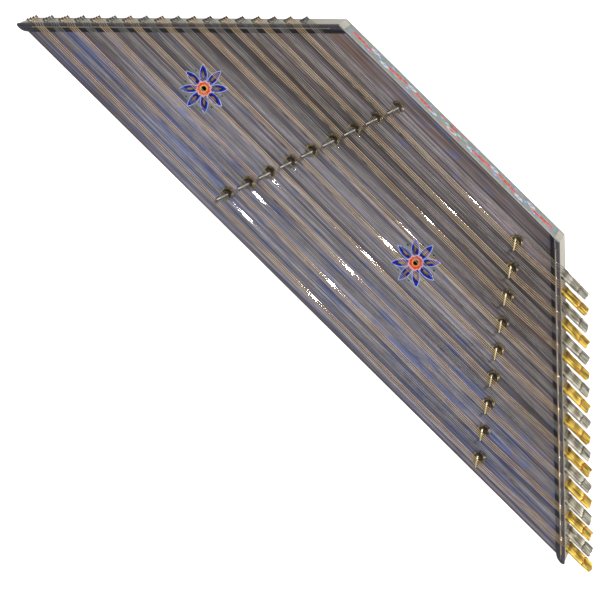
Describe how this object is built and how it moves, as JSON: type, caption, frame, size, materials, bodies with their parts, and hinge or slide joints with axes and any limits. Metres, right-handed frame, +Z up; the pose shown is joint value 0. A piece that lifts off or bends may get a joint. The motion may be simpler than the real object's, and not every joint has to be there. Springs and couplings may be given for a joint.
{
  "type": "hammered dulcimer",
  "caption": "Trapezoid zither with hammered strings in courses over rows of movable bridges, hitch pins on one slanted side and tuning pins on the other.",
  "frame": {"origin": "middle of the flat underside of the back board", "axes": "+X along the strings from the hitch pins to the tuning pins, +Y from the player's long side to the short side, +Z up out of the playing side"},
  "size_m": [0.9303, 0.27, 0.0843],
  "materials": {
    "dark_wood": "satin lacquer over dark stain",
    "pale_wood": "matt pale grey-beige",
    "painted_wood": "matt pale wood with a painted floral band",
    "inner_wood": "bare, unfinished",
    "strip_wood": "satin black-brown",
    "bridge_wood": "polished dark hardwood",
    "steel": "polished",
    "brass": "polished"
  },
  "bodies": {
    "case": {"back_board": "inner_wood", "soundboard": "dark_wood", "front_rail": "pale_wood", "rear_rail": "painted_wood", "hitch_block": "pale_wood", "pin_block": "pale_wood", "nut_strip_left": "strip_wood", "nut_strip_right": "strip_wood", "nut_rod_left": "steel", "nut_rod_right": "steel", "hitch_pins": "steel", "fixed_tuning_pins": "steel", "brass_strings": "brass", "steel_strings": "steel", "sound_post_left_front": "inner_wood", "sound_post_left_rear": "inner_wood", "sound_post_centre": "inner_wood", "sound_post_right_front": "inner_wood", "sound_post_right_rear": "inner_wood"},
    "brass_bridge_1": {"brass_bridge_1": "bridge_wood"},
    "brass_pin_1": {"brass_pin_1": "brass"},
    "steel_bridge_1": {"steel_bridge_1": "bridge_wood"},
    "steel_pin_1": {"steel_pin_1": "steel"},
    "brass_bridge_2": {"brass_bridge_2": "bridge_wood"},
    "brass_pin_2": {"brass_pin_2": "brass"},
    "steel_bridge_2": {"steel_bridge_2": "bridge_wood"},
    "steel_pin_2": {"steel_pin_2": "steel"},
    "brass_bridge_3": {"brass_bridge_3": "bridge_wood"},
    "brass_pin_3": {"brass_pin_3": "brass"},
    "steel_bridge_3": {"steel_bridge_3": "bridge_wood"},
    "steel_pin_3": {"steel_pin_3": "steel"},
    "brass_bridge_4": {"brass_bridge_4": "bridge_wood"},
    "brass_pin_4": {"brass_pin_4": "brass"},
    "steel_bridge_4": {"steel_bridge_4": "bridge_wood"},
    "steel_pin_4": {"steel_pin_4": "steel"},
    "brass_bridge_5": {"brass_bridge_5": "bridge_wood"},
    "brass_pin_5": {"brass_pin_5": "brass"},
    "steel_bridge_5": {"steel_bridge_5": "bridge_wood"},
    "steel_pin_5": {"steel_pin_5": "steel"},
    "brass_bridge_6": {"brass_bridge_6": "bridge_wood"},
    "brass_pin_6": {"brass_pin_6": "brass"},
    "steel_bridge_6": {"steel_bridge_6": "bridge_wood"},
    "steel_pin_6": {"steel_pin_6": "steel"},
    "brass_bridge_7": {"brass_bridge_7": "bridge_wood"},
    "brass_pin_7": {"brass_pin_7": "brass"},
    "steel_bridge_7": {"steel_bridge_7": "bridge_wood"},
    "steel_pin_7": {"steel_pin_7": "steel"},
    "brass_bridge_8": {"brass_bridge_8": "bridge_wood"},
    "brass_pin_8": {"brass_pin_8": "brass"},
    "steel_bridge_8": {"steel_bridge_8": "bridge_wood"},
    "steel_pin_8": {"steel_pin_8": "steel"},
    "brass_bridge_9": {"brass_bridge_9": "bridge_wood"},
    "brass_pin_9": {"brass_pin_9": "brass"},
    "steel_bridge_9": {"steel_bridge_9": "bridge_wood"},
    "steel_pin_9": {"steel_pin_9": "steel"}
  },
  "joints": [
    {"name": "brass_bridge_1_slide", "type": "slide", "parent": "case", "child": "brass_bridge_1", "axis": [1, 0, 0], "range_m": [-0.008, 0.008]},
    {"name": "steel_bridge_1_slide", "type": "slide", "parent": "case", "child": "steel_bridge_1", "axis": [1, 0, 0], "range_m": [-0.008, 0.008]},
    {"name": "brass_bridge_2_slide", "type": "slide", "parent": "case", "child": "brass_bridge_2", "axis": [1, 0, 0], "range_m": [-0.008, 0.008]},
    {"name": "steel_bridge_2_slide", "type": "slide", "parent": "case", "child": "steel_bridge_2", "axis": [1, 0, 0], "range_m": [-0.008, 0.008]},
    {"name": "brass_bridge_3_slide", "type": "slide", "parent": "case", "child": "brass_bridge_3", "axis": [1, 0, 0], "range_m": [-0.008, 0.008]},
    {"name": "steel_bridge_3_slide", "type": "slide", "parent": "case", "child": "steel_bridge_3", "axis": [1, 0, 0], "range_m": [-0.008, 0.008]},
    {"name": "brass_bridge_4_slide", "type": "slide", "parent": "case", "child": "brass_bridge_4", "axis": [1, 0, 0], "range_m": [-0.008, 0.008]},
    {"name": "steel_bridge_4_slide", "type": "slide", "parent": "case", "child": "steel_bridge_4", "axis": [1, 0, 0], "range_m": [-0.008, 0.008]},
    {"name": "brass_bridge_5_slide", "type": "slide", "parent": "case", "child": "brass_bridge_5", "axis": [1, 0, 0], "range_m": [-0.008, 0.008]},
    {"name": "steel_bridge_5_slide", "type": "slide", "parent": "case", "child": "steel_bridge_5", "axis": [1, 0, 0], "range_m": [-0.008, 0.008]},
    {"name": "brass_bridge_6_slide", "type": "slide", "parent": "case", "child": "brass_bridge_6", "axis": [1, 0, 0], "range_m": [-0.008, 0.008]},
    {"name": "steel_bridge_6_slide", "type": "slide", "parent": "case", "child": "steel_bridge_6", "axis": [1, 0, 0], "range_m": [-0.008, 0.008]},
    {"name": "brass_bridge_7_slide", "type": "slide", "parent": "case", "child": "brass_bridge_7", "axis": [1, 0, 0], "range_m": [-0.008, 0.008]},
    {"name": "steel_bridge_7_slide", "type": "slide", "parent": "case", "child": "steel_bridge_7", "axis": [1, 0, 0], "range_m": [-0.008, 0.008]},
    {"name": "brass_bridge_8_slide", "type": "slide", "parent": "case", "child": "brass_bridge_8", "axis": [1, 0, 0], "range_m": [-0.008, 0.008]},
    {"name": "steel_bridge_8_slide", "type": "slide", "parent": "case", "child": "steel_bridge_8", "axis": [1, 0, 0], "range_m": [-0.008, 0.008]},
    {"name": "brass_bridge_9_slide", "type": "slide", "parent": "case", "child": "brass_bridge_9", "axis": [1, 0, 0], "range_m": [-0.008, 0.008]},
    {"name": "steel_bridge_9_slide", "type": "slide", "parent": "case", "child": "steel_bridge_9", "axis": [1, 0, 0], "range_m": [-0.008, 0.008]},
    {"name": "brass_pin_1_turn", "type": "hinge", "parent": "case", "child": "brass_pin_1", "pos_m": [0.44032, -0.1235, 0.047], "axis": [1, 0, 0], "continuous": true},
    {"name": "steel_pin_1_turn", "type": "hinge", "parent": "case", "child": "steel_pin_1", "pos_m": [0.42662, -0.11005, 0.047], "axis": [1, 0, 0], "continuous": true},
    {"name": "brass_pin_2_turn", "type": "hinge", "parent": "case", "child": "brass_pin_2", "pos_m": [0.41292, -0.0966, 0.047], "axis": [1, 0, 0], "continuous": true},
    {"name": "steel_pin_2_turn", "type": "hinge", "parent": "case", "child": "steel_pin_2", "pos_m": [0.39921, -0.08315, 0.047], "axis": [1, 0, 0], "continuous": true},
    {"name": "brass_pin_3_turn", "type": "hinge", "parent": "case", "child": "brass_pin_3", "pos_m": [0.38551, -0.0697, 0.047], "axis": [1, 0, 0], "continuous": true},
    {"name": "steel_pin_3_turn", "type": "hinge", "parent": "case", "child": "steel_pin_3", "pos_m": [0.37181, -0.05625, 0.047], "axis": [1, 0, 0], "continuous": true},
    {"name": "brass_pin_4_turn", "type": "hinge", "parent": "case", "child": "brass_pin_4", "pos_m": [0.35811, -0.0428, 0.047], "axis": [1, 0, 0], "continuous": true},
    {"name": "steel_pin_4_turn", "type": "hinge", "parent": "case", "child": "steel_pin_4", "pos_m": [0.3444, -0.02935, 0.047], "axis": [1, 0, 0], "continuous": true},
    {"name": "brass_pin_5_turn", "type": "hinge", "parent": "case", "child": "brass_pin_5", "pos_m": [0.3307, -0.0159, 0.047], "axis": [1, 0, 0], "continuous": true},
    {"name": "steel_pin_5_turn", "type": "hinge", "parent": "case", "child": "steel_pin_5", "pos_m": [0.317, -0.00245, 0.047], "axis": [1, 0, 0], "continuous": true},
    {"name": "brass_pin_6_turn", "type": "hinge", "parent": "case", "child": "brass_pin_6", "pos_m": [0.30329, 0.011, 0.047], "axis": [1, 0, 0], "continuous": true},
    {"name": "steel_pin_6_turn", "type": "hinge", "parent": "case", "child": "steel_pin_6", "pos_m": [0.28959, 0.02445, 0.047], "axis": [1, 0, 0], "continuous": true},
    {"name": "brass_pin_7_turn", "type": "hinge", "parent": "case", "child": "brass_pin_7", "pos_m": [0.27589, 0.0379, 0.047], "axis": [1, 0, 0], "continuous": true},
    {"name": "steel_pin_7_turn", "type": "hinge", "parent": "case", "child": "steel_pin_7", "pos_m": [0.26219, 0.05135, 0.047], "axis": [1, 0, 0], "continuous": true},
    {"name": "brass_pin_8_turn", "type": "hinge", "parent": "case", "child": "brass_pin_8", "pos_m": [0.24848, 0.0648, 0.047], "axis": [1, 0, 0], "continuous": true},
    {"name": "steel_pin_8_turn", "type": "hinge", "parent": "case", "child": "steel_pin_8", "pos_m": [0.23478, 0.07825, 0.047], "axis": [1, 0, 0], "continuous": true},
    {"name": "brass_pin_9_turn", "type": "hinge", "parent": "case", "child": "brass_pin_9", "pos_m": [0.22108, 0.0917, 0.047], "axis": [1, 0, 0], "continuous": true},
    {"name": "steel_pin_9_turn", "type": "hinge", "parent": "case", "child": "steel_pin_9", "pos_m": [0.20737, 0.10515, 0.047], "axis": [1, 0, 0], "continuous": true}
  ]
}
